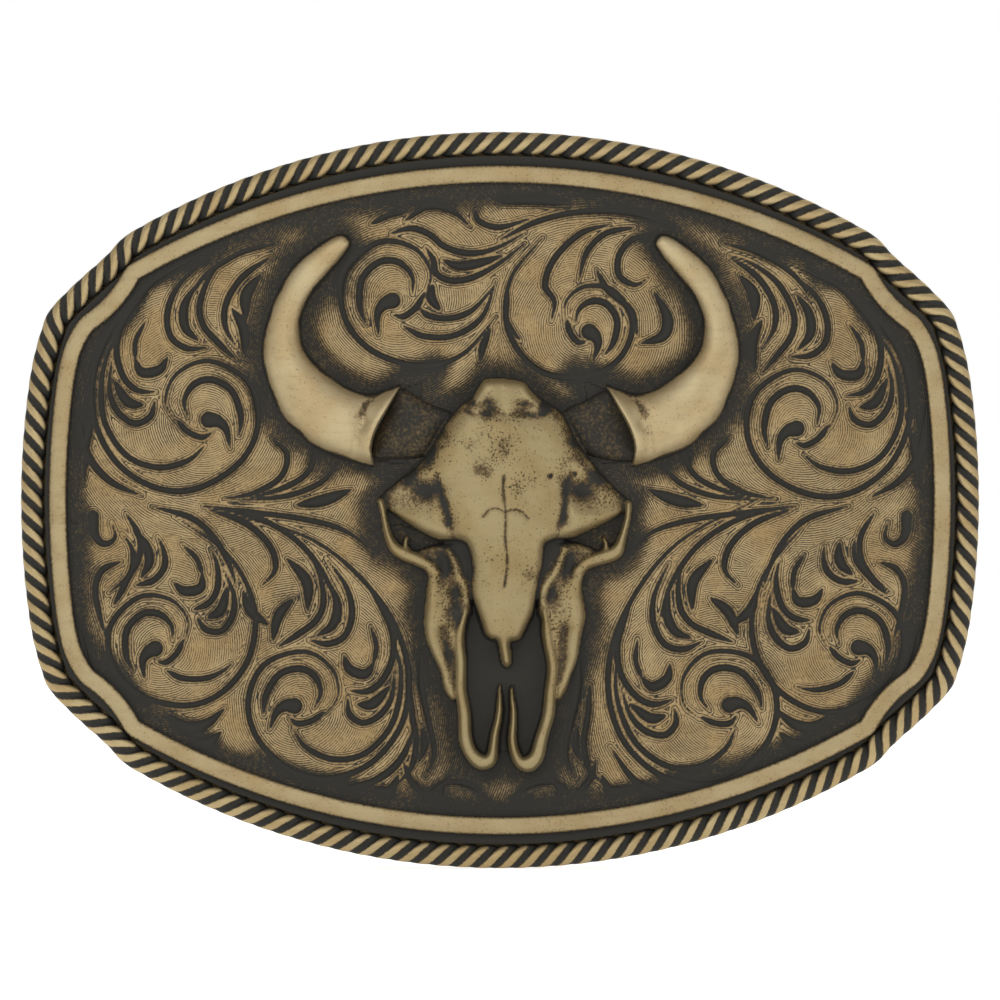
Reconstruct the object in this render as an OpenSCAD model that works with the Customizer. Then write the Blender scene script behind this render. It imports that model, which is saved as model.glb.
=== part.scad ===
// Western plaque belt buckle: a bowed, engraved face plate soldered to a base
// plate, with a rope-wire edge, a raised rail and a bison skull, and on the back
// a swinging wire bail for the belt and a hook stud for its holes.
// Units are millimetres. The face looks along -Y, +Z is up, and X is the width.

/* [Face] */
// Width of the buckle over the rope edge; the outline keeps its proportions
buckle_w = 92; // [84:1:100]
// Radius that the plates are bowed to, about an upright axis behind the buckle
bow_r = 200; // [160:5:320]
// Thickness of the engraved face plate
face_t = 1.6; // [1.2:0.1:2]
// Thickness of the base plate that carries the bail and the hook
base_t = 1.2; // [1:0.1:1.6]
// Diameter of the rope wire round the edge
rope_d = 2.3; // [2:0.1:2.4]
// Width of the raised rail
rail_w = 1.45; // [1.2:0.05:1.6]
// Height of the raised rail above the face plate
rail_h = 0.8; // [0.5:0.1:1.2]

/* [Skull] */
// Height of the skull's forehead above the face plate
skull_h = 4; // [3:0.25:5]
// Height of the cheek and jaw bones above the face plate
jaw_h = 2.4; // [1.6:0.2:2.8]
// Sideways place of the skull's middle on the plate
skull_x = 0.5; // [0:0.1:1]

/* [Bail] */
// Width of the belt that the bail takes
belt_w = 38; // [32:1:40]
// Diameter of the bail's wire
wire_d = 3; // [2.6:0.1:3.2]
// Distance from the pivot to the middle of the bail's far bar
bail_reach = 13; // [12:0.5:15]
// Distance of the pivot from the middle of the buckle
pivot_x = 20; // [18:0.5:22]
// Thickness of each lug
lug_t = 3; // [2.5:0.25:3.5]

/* [Hook] */
// Distance of the hook from the middle of the buckle
hook_x = 31; // [28:0.5:33]
// Diameter of the hook's shank, for a 5 mm hole in the belt
hook_d = 3.8; // [3.2:0.1:4.2]
// Length of the shank's straight part
shank_l = 5; // [4:0.5:6]
// Lean of the shank towards the bail, from square to the pad
hook_lean = 25; // [10:1:35]

/* [Hidden] */
$fn = 64;
bow_fn = 256;

// Quarter outlines from the top middle to the right-hand side: each row is a
// radius, negative where the outline is hollow, and the heading at its end.
rim_top = 35.27;
rim_arcs = [[70.2, 30.5], [4, 50], [-18, 40], [45, 47], [4, 70], [30, 82], [80.8, 90]];
rail_top = 31.18;
rail_arcs = [[70.6, 29.7], [0.9, 62], [-12.4, 34], [1.5, 52], [8.5, 76], [24, 83], [87.8, 90]];
arc_step = 3;
outline_scale = buckle_w / 92;

solder_gap = 0.03;
relief_root = 0.6;
rope_inset = rope_d / 2;
face_inset = rope_d + 0.05;
base_inset = 0.35;
rope_depth = face_t - rope_d / 2 - solder_gap;
rope_sides = 10;
back_depth = face_t + base_t;
slab = 40;

// The bail lies on the back: its wire's middle is this far behind the face.
bail_y = 7.5;
bail_z = (belt_w + 3 + wire_d) / 2;
wire_r = wire_d / 2;
pivot_bend = 2.5;
far_bend = 3.5;
pin_bore_gap = 0.05;
pin_end_z = bail_z - 6.8;
pin_head_r = wire_r + 0.5;
pin_head_t = 0.6;
lug_side_gap = 0.5;
lug_outer_z = bail_z - pivot_bend - lug_side_gap;
lug_r = 3;
foot_l = 12.4;
foot_y = 5.3;
rivet_x = 4.7;
rivet_r = 0.7;
rivet_head_r = 1.25;
rivet_head_t = 0.6;
rivet_gap = 0.03;

hook_r = hook_d / 2;
pad_r = 4.5;
pad_t = 1.2;
root_h = 1.3;
root_r = hook_r + 0.9;
tail_r = 1.25;
tail_gap = 0.02;

// The whole stack is moved so that the origin is at the middle of its depth,
// which runs from the skull's front to the tip of the hook.
hook_turn = asin(hook_x / (bow_r - back_depth));
hook_tip_y = bow_y(hook_x, back_depth) + pad_t * cos(hook_turn)
             + (root_h + shank_l) * cos(hook_turn + hook_lean) + hook_r;
mid_y = (hook_tip_y - skull_h) / 2;

// ---- outline functions ----

// Step along an arc of radius r between two headings.
function arc_move(r, from, to) = [r * (sin(to) - sin(from)), -r * (cos(from) - cos(to))];

// Start of arc i, and the points along it.
function arc_from(arcs, i) = i == 0 ? 0 : arcs[i - 1][1];
function arc_start(arcs, top, inset, i) =
    i == 0 ? [0, top - inset]
           : arc_start(arcs, top, inset, i - 1)
             + arc_move(arcs[i - 1][0] - inset, arc_from(arcs, i - 1), arcs[i - 1][1]);
function arc_points(arcs, top, inset, i) =
    let (from = arc_from(arcs, i), to = arcs[i][1],
         n = max(2, round(abs(to - from) * abs(arcs[i][0]) / 60 / arc_step) + 2))
    [for (k = [0 : n - 1])
        arc_start(arcs, top, inset, i) + arc_move(arcs[i][0] - inset, from, from + (to - from) * k / n)];

// The whole outline, clockwise from the top middle, with no point twice.
function quarter(arcs, top, inset) = [for (i = [0 : len(arcs) - 1]) each arc_points(arcs, top, inset, i)];
function side_end(arcs, top, inset) = [arc_start(arcs, top, inset, len(arcs))[0], 0];
function reversed(points) = [for (i = [len(points) - 1 : -1 : 0]) points[i]];
function tail_of(points) = [for (i = [1 : len(points) - 1]) points[i]];
function half_outline(arcs, top, inset) =
    let (q = quarter(arcs, top, inset))
    concat(q, [side_end(arcs, top, inset)], [for (p = reversed(tail_of(q))) [p[0], -p[1]]]);
function outline(arcs, top, inset) =
    let (h = half_outline(arcs, top, inset),
         all_points = concat(h, [[0, -(top - inset)]], [for (p = reversed(tail_of(h))) [-p[0], p[1]]]))
    outline_scale * all_points;

// Y of a bowed surface at a given depth behind the face plate's front.
function bow_y(x, depth) = bow_r - sqrt(pow(bow_r - depth, 2) - x * x);

// ---- shared shapes ----

// A solid cylinder of the bow, whose skin lies depth behind the face's front.
module bow_drum(depth) {
    translate([0, bow_r, 0]) cylinder(r = bow_r - depth, h = 3 * slab, center = true, $fn = bow_fn);
}

// An outline pushed through the whole depth, seen from the front.
module plaque(points) {
    translate([0, slab / 2, 0]) rotate([90, 0, 0]) linear_extrude(slab) polygon(points);
}

// A bowed sheet of the given outline between two depths.
module bowed_sheet(points, from, to) {
    intersection() {
        plaque(points);
        difference() {
            bow_drum(from);
            bow_drum(to);
        }
    }
}

// A relief that rises through the face plate, its top narrowed by share.
module relief(points, height, share, middle) {
    translate([middle[0], relief_root, middle[1]]) rotate([90, 0, 0])
        linear_extrude(height + relief_root, scale = share)
            polygon([for (p = points) p - middle]);
}

// A casting moved to the skull's place, with its back cut to sit on the bowed face.
module cast_on() {
    difference() {
        translate([skull_x, 0, 0]) children();
        bow_drum(-solder_gap);
    }
}

function mirrored(points) = concat(points, [for (p = reversed(points)) [-p[0], p[1]]]);

// Places a child on the back of the base plate at x, its +Z square to the plate.
module on_back(x) {
    translate([x, bow_y(x, back_depth), 0])
        rotate([0, 0, asin(x / (bow_r - back_depth))])
            rotate([-90, 0, 0]) children();
}

module cylinder_y(r, from, to) {
    translate([0, from, 0]) rotate([-90, 0, 0]) cylinder(r = r, h = to - from);
}

// ---- the face ----

module face_plate() {
    color("#8C7A54") bowed_sheet(outline(rim_arcs, rim_top, face_inset), 0, face_t);
}

module base_plate() {
    color("#7D6C4A") difference() {
        bowed_sheet(outline(rim_arcs, rim_top, base_inset), face_t, back_depth);
        for (side = [1, -1])
            rivet_places(side) cylinder_y(rivet_r + rivet_gap, -5, 5);
        on_back(hook_x) cylinder(r = tail_r + tail_gap, h = 10, center = true);
    }
}

// The rope wire as a plain round ring that follows the bowed rim.
module rope_edge() {
    path = outline(rim_arcs, rim_top, rope_inset);
    n = len(path);
    ring = [for (i = [0 : n - 1])
        let (ahead = path[(i + 1) % n], behind = path[(i + n - 1) % n],
             along = (ahead - behind) / norm(ahead - behind), out = [along[1], -along[0]])
        for (k = [0 : rope_sides - 1])
            let (turn = 360 * k / rope_sides, across = rope_d / 2 * cos(turn))
            [path[i][0] - out[0] * across,
             bow_y(path[i][0], rope_depth) + rope_d / 2 * sin(turn),
             path[i][1] - out[1] * across]];
    faces = [for (i = [0 : n - 1], k = [0 : rope_sides - 1])
        let (j = (i + 1) % n, m = (k + 1) % rope_sides)
        [i * rope_sides + k, j * rope_sides + k, j * rope_sides + m, i * rope_sides + m]];
    color("#A08C5E") polyhedron(points = ring, faces = faces, convexity = 6);
}

module border_rail() {
    color("#B79F6C") intersection() {
        difference() {
            plaque(outline(rail_arcs, rail_top, -rail_w / 2));
            plaque(outline(rail_arcs, rail_top, rail_w / 2));
        }
        difference() {
            bow_drum(-rail_h);
            bow_drum(0);
        }
    }
}

// ---- the skull ----

module skull() {
    cranium = [[0, 11.6], [2.5, 10.9], [5.6, 8.3], [6.9, 5.5], [9.4, 2.5], [12, -0.2],
               [7, -3.7], [3.8, -4.2], [3.3, -7.5], [3, -10.2], [1.9, -13.1], [0.6, -13.6], [0.4, -15.6]];
    cheek = [[3.2, -2], [9, -3.2], [11.7, -0.9], [11.2, -3.2], [10.2, -5.6], [7.4, -6.4], [7.3, -8.8],
             [7.8, -11.4], [6.8, -14.6], [5, -19], [4.2, -21.5], [3.8, -24.2], [2.8, -25.7], [1.8, -26],
             [0.9, -25.3], [0.6, -23], [0.6, -19], [1.2, -19], [1.5, -22.6], [2.2, -23.6], [3, -22],
             [3.6, -18.6], [4.1, -14.6], [3.4, -11.4], [2.6, -9]];
    core = [[5.5, 8.2], [10.6, 10], [12.6, 4.2], [8.5, 3]];
    color("#B79F6C") cast_on() union() {
        relief(mirrored(cranium), skull_h, 0.72, [0, 0]);
        for (side = [0, 1]) mirror([side, 0, 0]) {
            relief(cheek, jaw_h, 0.94, [5, -13]);
            relief(core, 1.1, 0.85, [9, 6.4]);
        }
    }
}

// A horn as round beads along its curve, joined in pairs.
horn_path = [[-12.2, 6.9, 3.3], [-15, 6.9, 3.3], [-18, 8.6, 3.1], [-20.3, 11.4, 2.7],
             [-21.5, 15, 2.2], [-21.2, 18.3, 1.8], [-19.6, 21.4, 1.4], [-17.4, 23.8, 1], [-15.6, 25.1, 0.6]];

module horn() {
    difference() {
        union() for (i = [0 : len(horn_path) - 2]) hull() for (p = [horn_path[i], horn_path[i + 1]])
            translate([p[0], -0.1, p[1]]) sphere(r = p[2], $fn = 24);
        // the horn's flared mouth is cut off clear of the skull's horn core
        translate([-7.6, 0, 5]) rotate([0, 20, 0]) cube([10, 30, 30], center = true);
    }
}

module horn_left() {
    color("#BFA870") cast_on() horn();
}

module horn_right() {
    color("#BFA870") cast_on() mirror([1, 0, 0]) horn();
}

// ---- the bail and its lugs ----

module rivet_places(side) {
    for (x = [-rivet_x, rivet_x])
        translate([-pivot_x + x, foot_y, side * (lug_outer_z - lug_t / 2)]) children();
}

// A lug: an ear round the pivot on a riveted foot that fits the bowed back.
module bail_lug(side) {
    color("#9C8657") intersection() {
        difference() {
            translate([-pivot_x, 0, side * (lug_outer_z - lug_t / 2)]) union() {
                translate([0, bail_y, 0]) cylinder(r = lug_r, h = lug_t, center = true);
                translate([-lug_r, 2, -lug_t / 2]) cube([2 * lug_r, bail_y - 2, lug_t]);
                translate([-foot_l / 2, 2, -lug_t / 2]) cube([foot_l, foot_y - 2, lug_t]);
            }
            translate([-pivot_x, bail_y, 0]) cylinder(r = wire_r + pin_bore_gap, h = 3 * slab, center = true);
            rivet_places(side) cylinder_y(rivet_r + rivet_gap, -5, 5);
        }
        bow_drum(back_depth);
    }
}

module lug_rivets() {
    color("#B79F6C") intersection() {
        for (side = [1, -1]) rivet_places(side) union() {
            cylinder_y(rivet_r, -5, 0);
            rotate([-90, 0, 0]) cylinder(r1 = rivet_head_r, r2 = rivet_head_r * 0.6, h = rivet_head_t);
        }
        bow_drum(face_t);
    }
}

// A quarter bend of wire in the XZ plane, its middle line of radius bend.
module wire_bend(at, bend, from) {
    translate([at[0], bail_y, at[1]]) rotate([90, 0, 0]) rotate([0, 0, from])
        rotate_extrude(angle = 90) translate([bend, 0]) circle(r = wire_r);
}

module bail() {
    far_x = -pivot_x - bail_reach;
    color("#A58F5E") union() {
        translate([far_x, bail_y, 0]) cylinder(r = wire_r, h = 2 * (bail_z - far_bend), center = true);
        for (side = [0, 1]) mirror([0, 0, side]) {
            wire_bend([far_x + far_bend, bail_z - far_bend], far_bend, 90);
            translate([far_x + far_bend, bail_y, bail_z]) rotate([0, 90, 0])
                cylinder(r = wire_r, h = bail_reach - far_bend - pivot_bend);
            wire_bend([-pivot_x - pivot_bend, bail_z - pivot_bend], pivot_bend, 0);
            translate([-pivot_x, bail_y, pin_end_z]) cylinder(r = wire_r, h = bail_z - pivot_bend - pin_end_z);
            translate([-pivot_x, bail_y, pin_end_z - pin_head_t])
                cylinder(r1 = wire_r * 0.8, r2 = pin_head_r, h = pin_head_t);
        }
    }
}

// ---- the hook ----

module hook_pad() {
    color("#9C8657") intersection() {
        on_back(hook_x) difference() {
            translate([0, 0, -1]) cylinder(r = pad_r, h = pad_t + 1);
            cylinder(r = tail_r + tail_gap, h = 10, center = true);
        }
        bow_drum(back_depth);
    }
}

// The stud stands on the pad, leans towards the bail, and its tail is peened
// over inside, between the two plates.
module hook_stud() {
    color("#B79F6C") intersection() {
        on_back(hook_x) union() {
            translate([0, 0, -4]) cylinder(r = tail_r, h = 4 + pad_t);
            difference() {
                translate([0, 0, pad_t]) rotate([0, -hook_lean, 0]) {
                    translate([0, 0, -2]) cylinder(r = root_r, h = 2);
                    cylinder(r1 = root_r, r2 = hook_r, h = root_h);
                    translate([0, 0, root_h]) cylinder(r = hook_r, h = shank_l);
                    translate([0, 0, root_h + shank_l]) sphere(r = hook_r);
                }
                translate([0, 0, pad_t - 5]) cube(10, center = true);
            }
        }
        bow_drum(face_t);
    }
}

translate([0, -mid_y, 0]) face_plate();
translate([0, -mid_y, 0]) base_plate();
translate([0, -mid_y, 0]) rope_edge();
translate([0, -mid_y, 0]) border_rail();
translate([0, -mid_y, 0]) skull();
translate([0, -mid_y, 0]) horn_left();
translate([0, -mid_y, 0]) horn_right();
translate([0, -mid_y, 0]) bail_lug(1);  // bail_lug_upper
translate([0, -mid_y, 0]) bail_lug(-1);  // bail_lug_lower
translate([0, -mid_y, 0]) lug_rivets();
translate([0, -mid_y, 0]) bail();
translate([0, -mid_y, 0]) hook_pad();
translate([0, -mid_y, 0]) hook_stud();
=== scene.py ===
"""A Western plaque belt buckle in antiqued brass: the looks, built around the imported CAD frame."""
import math

import bmesh
import bpy
import numpy as np
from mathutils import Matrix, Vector


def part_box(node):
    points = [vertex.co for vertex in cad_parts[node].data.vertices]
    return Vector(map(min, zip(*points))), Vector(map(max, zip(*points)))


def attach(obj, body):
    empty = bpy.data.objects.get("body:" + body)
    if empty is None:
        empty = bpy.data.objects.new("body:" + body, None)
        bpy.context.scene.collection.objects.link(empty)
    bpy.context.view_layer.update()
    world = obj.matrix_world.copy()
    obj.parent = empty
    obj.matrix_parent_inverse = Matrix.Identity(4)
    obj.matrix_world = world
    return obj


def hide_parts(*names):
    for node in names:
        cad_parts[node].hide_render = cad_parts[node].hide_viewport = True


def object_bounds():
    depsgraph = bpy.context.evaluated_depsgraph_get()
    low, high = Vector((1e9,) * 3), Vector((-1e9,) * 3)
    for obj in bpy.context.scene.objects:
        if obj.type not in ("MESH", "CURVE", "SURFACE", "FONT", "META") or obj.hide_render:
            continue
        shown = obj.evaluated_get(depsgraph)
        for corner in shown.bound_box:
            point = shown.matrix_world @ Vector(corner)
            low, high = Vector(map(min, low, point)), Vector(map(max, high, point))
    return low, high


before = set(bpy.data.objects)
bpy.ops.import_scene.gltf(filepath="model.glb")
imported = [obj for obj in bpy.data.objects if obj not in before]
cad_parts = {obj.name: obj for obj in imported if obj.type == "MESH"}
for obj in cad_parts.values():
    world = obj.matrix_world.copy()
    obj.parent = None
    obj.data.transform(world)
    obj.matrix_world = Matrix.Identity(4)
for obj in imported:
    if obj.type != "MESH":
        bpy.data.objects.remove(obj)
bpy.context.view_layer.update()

# ---- sizes, in millimetres unless a name says otherwise ----

MM = 0.001
# The radius of the plates' bow, where the front of the face lies, and how far the skull
# and horns stand to the right of the middle.
BOW_R = 200.0
FACE_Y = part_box("face_plate")[0].y / MM
SKULL_X = 0.5

# Quarter outlines from the top middle to the right-hand side. Each arc has a radius,
# negative where the outline is hollow, and the heading in degrees at its end.
RIM_TOP = 35.27
RIM_ARCS = [(70.2, 30.5), (4, 50), (-18, 40), (45, 47), (4, 70), (30, 82), (80.8, 90)]
RAIL_TOP = 31.18
RAIL_ARCS = [(70.6, 29.7), (0.9, 62), (-12.4, 34), (1.5, 52), (8.5, 76), (24, 83), (87.8, 90)]

# The rope: its radius, the height of its middle over the face, its strands, the crests
# counted once round the edge, the grid's rows to a crest and points round the wire, and
# how deep the grooves between the strands are.
ROPE_R = 1.13
ROPE_RISE = -0.42
ROPE_STRANDS = 3
ROPE_CRESTS = 136
ROPE_PARTS = 12
ROPE_SIDES = 28
ROPE_GROOVE = 0.36

# The rail: its width, its height, how far it is sunk in the plate and its sections.
RAIL_W = 1.74
RAIL_H = 0.8
RAIL_SUNK = 0.3
RAIL_SECTIONS = 900

# The engraved field: its grid's step, the heights of its ground and its leaves, how deep
# the cuts go, what their widths are multiplied by, and how far its back is sunk.
FIELD_STEP = 0.208
FIELD_GROUND = 0.05
FIELD_LEAF = 0.42
CUT_DEPTH = 0.3
CUT_W = 0.95
FIELD_SUNK = 0.2

# The skull's and the horns' grid steps, how far their backs are sunk, and the height given
# to points that lie off a bone or a horn, a little under the face.
RELIEF_STEP = 0.13
HORN_STEP = 0.1
SUNK = 0.5
UNDER = -0.3

# The skin on the back: the two plates' thickness, the bare margin, the grid's step and how
# far the skin is sunk; then the planishing marks' spacing, the radius of the hammer's face
# and the marks' greatest depth.
BACK_DEPTH = 2.8
BACK_INSET = 0.75
BACK_STEP = 0.3
BACK_SUNK = 0.15
MARK_PITCH = 2.9
MARK_R = 6.0
MARK_DEPTH = 0.24
# What stands on the back, above and below the middle: its x, its z, and how far it
# reaches across and up.
BACK_FITTINGS = [(-20.0, 19.0, 6.5, 4.0), (31.0, 0.0, 4.2, 4.2)]


def bowed(x, z, height):
    """Points at a height above the bowed face, as a table of places in metres."""
    y = FACE_Y + BOW_R - np.sqrt((BOW_R + height) ** 2 - x ** 2)
    return np.stack([x, y, z], axis=-1) * MM


# ---- outlines and distances ----

def outline(arcs, top, inset, step=0.5):
    """A whole outline, clockwise from the top middle, from its quarter's arcs."""
    point = np.array([0.0, top - inset])
    heading = 0.0
    quarter = []
    for radius, end in arcs:
        bend = radius - inset
        start = math.radians(heading)
        count = max(2, int(abs(bend * math.radians(end - heading)) / step) + 1)
        turns = np.radians(np.linspace(heading, end, count + 1))
        steps = bend * np.stack([np.sin(turns) - math.sin(start), np.cos(turns) - math.cos(start)], axis=1)
        quarter.extend(point + steps[:-1])
        point = point + steps[-1]
        heading = end
    quarter = np.array(quarter)
    side = np.array([[point[0], 0.0]])
    right = np.concatenate([quarter, side, quarter[:0:-1] * [1, -1]])
    return np.concatenate([right, [[0.0, -(top - inset)]], right[:0:-1] * [-1, 1]])


def evenly(points, count):
    """The same closed line with its points evenly spaced."""
    line = np.concatenate([points, points[:1]])
    along = np.concatenate([[0], np.cumsum(np.linalg.norm(np.diff(line, axis=0), axis=1))])
    wanted = np.linspace(0, along[-1], count, endpoint=False)
    return np.stack([np.interp(wanted, along, line[:, k]) for k in (0, 1)], axis=1)


def smooth_line(points, parts=6, closed=False):
    """A smooth curve through the points, parts steps between each two."""
    p = np.asarray(points, float)
    if closed:
        p = np.concatenate([p[-1:], p, p[:2]])
    else:
        p = np.concatenate([2 * p[:1] - p[1:2], p, 2 * p[-1:] - p[-2:-1]])
    t = np.linspace(0, 1, parts, endpoint=False)[:, None]
    spans = []
    for a, b, c, d in zip(p, p[1:], p[2:], p[3:]):
        spans.append(0.5 * (2 * b + (c - a) * t + (2 * a - 5 * b + 4 * c - d) * t ** 2
                            + (3 * b - a - 3 * c + d) * t ** 3))
    if not closed:
        spans.append(p[-2:-1])
    return np.concatenate(spans)


def step_between(low, high, value):
    """0 below low, 1 above high, and a smooth rise between them."""
    t = np.clip((value - low) / (high - low), 0, 1)
    return t * t * (3 - 2 * t)


def to_segment(a, b, x, z):
    """Distance to the segment from a to b, and how far along it the nearest point lies."""
    run = b - a
    share = np.clip(((x - a[0]) * run[0] + (z - a[1]) * run[1]) / max(run @ run, 1e-12), 0, 1)
    return np.hypot(x - a[0] - share * run[0], z - a[1] - share * run[1]), share


def inside_by(points, x, z):
    """Distance to a closed outline, positive inside it."""
    nearest = np.full(x.shape, 1e9)
    inside = np.zeros(x.shape, bool)
    for a, b in zip(points, np.roll(points, -1, axis=0)):
        nearest = np.minimum(nearest, to_segment(a, b, x, z)[0])
        if a[1] != b[1]:
            crosses = (a[1] > z) != (b[1] > z)
            inside ^= crosses & (x < a[0] + (z - a[1]) * (b[0] - a[0]) / (b[1] - a[1]))
    return np.where(inside, nearest, -nearest)


def from_line(points, x, z, half_widths=0.0):
    """Distance to the edge of a line that has a half width at each point."""
    widths = np.broadcast_to(half_widths, len(points))
    nearest = np.full(x.shape, 1e9)
    for a, b, wa, wb in zip(points, points[1:], widths, widths[1:]):
        distance, share = to_segment(a, b, x, z)
        nearest = np.minimum(nearest, distance - wa - (wb - wa) * share)
    return nearest


def softened(values, cells):
    """The table blurred by a round brush of that many cells."""
    pad = int(3 * cells) + 1
    wide = np.pad(values, pad, mode="edge")
    fz = np.fft.fftfreq(wide.shape[0])[:, None]
    fx = np.fft.rfftfreq(wide.shape[1])[None, :]
    spread = np.exp(-2 * (math.pi * cells) ** 2 * (fx ** 2 + fz ** 2))
    return np.fft.irfft2(np.fft.rfft2(wide) * spread, s=wide.shape)[pad:-pad, pad:-pad]


def hammered(shape, cells, seed):
    """Gentle unevenness about 1 high, with bumps that many cells across."""
    rough = softened(np.random.default_rng(seed).normal(size=shape), cells)
    return rough / rough.std()


# ---- the engraved scrolls ----

# One scroll wheel in its own units: its inner ring has a radius of 1. Each cut has a kind, a
# width in millimetres that CUT_W makes a little narrower, and points as clock hours and
# radii. The stem, which comes in at 11 o'clock, is first.
WHEEL_CUTS = [
    ("line", 0.5, [(11.1, 4.3), (12, 3.4), (13, 2.75), (14, 2.4), (15, 2.15), (16, 1.88), (17, 1.6),
                   (18, 1.33), (19.5, 1.08), (21, 1.05), (22.5, 1.12), (24, 1.13), (25.2, 1.02),
                   (26.3, 0.82), (27.3, 0.55)]),
    ("line", 0.6, [(8.4, 0.75), (9.4, 0.72), (10.7, 0.77), (11.8, 0.78), (12.7, 0.7), (13.7, 0.52),
                   (15, 0.3)]),
    ("drop", 1.5, [(21.2, 0.1), (21.0, 0.28), (20.4, 0.48), (19.6, 0.76)]),
    ("line", 0.5, [(15.2, 0.52), (16.4, 0.38), (18, 0.34), (19.3, 0.3)]),
    ("line", 0.5, [(6.3, 0.5), (5.5, 0.84), (4.75, 1.26), (4.05, 1.62), (3.3, 1.88), (2.65, 2.05),
                   (2.05, 2.23), (1.4, 2.45)]),
    ("line", 0.55, [(2.5, 1.0), (3.1, 1.03), (3.3, 1.34), (3.0, 1.67), (2.6, 1.9), (2.1, 2.1)]),
    ("blade", 0.95, [(2.75, 1.18), (2.75, 1.5), (2.4, 1.9)]),
    ("line", 0.55, [(2.2, 1.05), (2.4, 1.4), (2.25, 1.76), (1.9, 2.15), (1.5, 2.45), (1.05, 2.67),
                    (0.7, 2.95)]),
    ("blade", 0.95, [(1.2, 1.38), (1.6, 1.28), (1.95, 1.5), (1.8, 1.78)]),
    ("line", 0.4, [(1.83, 1.74), (1.55, 2.0), (1.2, 2.2)]),
    ("line", 0.55, [(0.1, 1.38), (0.65, 1.41), (0.92, 1.73), (0.81, 2.19), (0.54, 2.63), (0.17, 3.08)]),
    ("blade", 0.9, [(0.3, 1.5), (0.57, 1.8), (0.52, 2.2), (0.32, 2.57)]),
    ("line", 0.55, [(-0.8, 1.3), (-0.2, 1.48), (0.2, 1.8), (0.26, 2.22), (0.09, 2.8), (-0.16, 3.28),
                    (-0.42, 3.7)]),
    ("blade", 0.95, [(-0.9, 1.45), (-0.6, 1.9), (-0.28, 2.2)]),
    ("blade", 0.7, [(3.1, 2.42), (3.75, 2.32), (4.3, 2.15), (4.9, 1.88)]),
]
# Where the wheels lie: centre, ring radius, hand (1 runs clockwise inwards), turn in
# degrees, how many rings out the cuts reach, and how many of the cuts it has.
WHEELS = [
    (-28.4, 7.7, 5.0, -1, -6, 4.0, 15), (28.9, 6.9, 5.0, 1, -12, 4.0, 15),
    (-32.6, -14.1, 4.6, 1, -24, 3.2, 13), (33.9, -14.1, 4.6, -1, -8, 3.2, 13),
    (-19.2, -19.8, 4.7, 1, 5, 4.5, 15), (21.5, -19.8, 4.8, -1, 16, 4.5, 15),
    (-9.8, 19.2, 5.1, 1, -20, 1.95, 5), (8.2, 16.3, 4.05, -1, -35, 2.7, 4),
]
# Leaves and fillers between the wheels, for the right-hand side; the left is its mirror.
SIDE_CUTS = [
    ("line", 0.55, [(21.9, 23.3), (24.6, 21.4), (26.2, 18.9), (26.3, 16.6), (25.2, 14.6)]),
    ("blade", 1.1, [(22.9, 21.6), (24.3, 19.6), (24.3, 17.2)]),
    ("line", 0.45, [(21.4, 24.6), (25.0, 23.6), (28.1, 21.6), (29.9, 19.2)]),
    ("line", 0.5, [(33.4, -0.6), (29.6, -1.7), (27.4, -3.6), (26.0, -6.0), (25.2, -8.4)]),
    ("line", 0.55, [(27.9, -0.9), (24.4, -2.2), (22.1, -4.3), (21.5, -6.6), (22.8, -8.2)]),
    ("line", 0.45, [(27.3, -0.6), (22.7, -1.9), (18.9, -4.4), (16.4, -8.0), (15.2, -11.6)]),
    ("blade", 1.0, [(20.4, -5.6), (18.5, -7.8), (18.4, -10.6)]),
    ("blade", 0.9, [(24.6, -8.7), (23.9, -10.6), (22.1, -12.0)]),
    ("blade", 1.1, [(19.5, -0.5), (16.8, 0.0), (14.2, 1.0)]),
    ("line", 0.4, [(39.9, 1.6), (39.6, 5.2), (38.7, 9.0)]),
    ("line", 0.4, [(40.2, -12.4), (39.4, -15.9), (37.6, -18.8), (35.2, -21.0)]),
    ("line", 0.5, [(21.9, 5.9), (20.4, 4.4), (21.0, 2.2), (23.5, 0.7), (26.5, 0.1)]),
    ("line", 0.5, [(17.6, 5.3), (18.3, 2.8), (20.4, 1.3), (24.1, 0.1)]),
    ("line", 0.45, [(15.8, 3.1), (17.3, 1.6), (20.4, 0.4), (24.7, 0.0)]),
    ("line", 0.45, [(28.4, -0.6), (23.5, -1.2), (18.9, -1.8), (14.9, -2.9), (12.0, -5.0)]),
    ("drop", 1.0, [(39.0, -1.5), (38.8, -3.4), (37.9, -4.2), (36.9, -3.6), (37.2, -2.1)]),
    ("line", 0.55, [(36.3, -5.9), (38.1, -6.7), (38.8, -8.5), (38.4, -11.0), (37.7, -13.4)]),
    ("line", 0.5, [(35.9, -1.2), (34.6, -3.4), (34.6, -5.6), (35.7, -7.4), (37.5, -8.9)]),
    ("blade", 1.0, [(31.8, -20.6), (29.9, -21.7), (28.1, -21.4), (26.4, -20.0)]),
    ("blade", 0.8, [(29.4, -23.2), (27.9, -23.2), (26.7, -22.2)]),
    ("blade", 0.6, [(9.2, -25.1), (8.5, -26.9), (7.2, -28.1)]),
    ("blade", 0.8, [(12.1, -27.5), (10.6, -27.8), (9.7, -26.3)]),
    ("line", 0.5, [(6.9, -28.2), (5.1, -27.0), (2.8, -27.3), (1.3, -28.5)]),
    ("line", 0.5, [(7.6, -14.8), (7.5, -18.0), (6.8, -21.3), (6.3, -24.2), (7.1, -26.4)]),
    ("line", 0.55, [(8.6, -17.6), (8.4, -20.6), (8.0, -23.2), (8.5, -25.6), (10.0, -27.4)]),
    ("blade", 0.7, [(7.4, -21.7), (7.2, -23.3), (7.7, -25.0)]),
    ("line", 0.45, [(4.6, -26.2), (5.6, -27.6), (5.5, -28.8)]),
]
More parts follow.
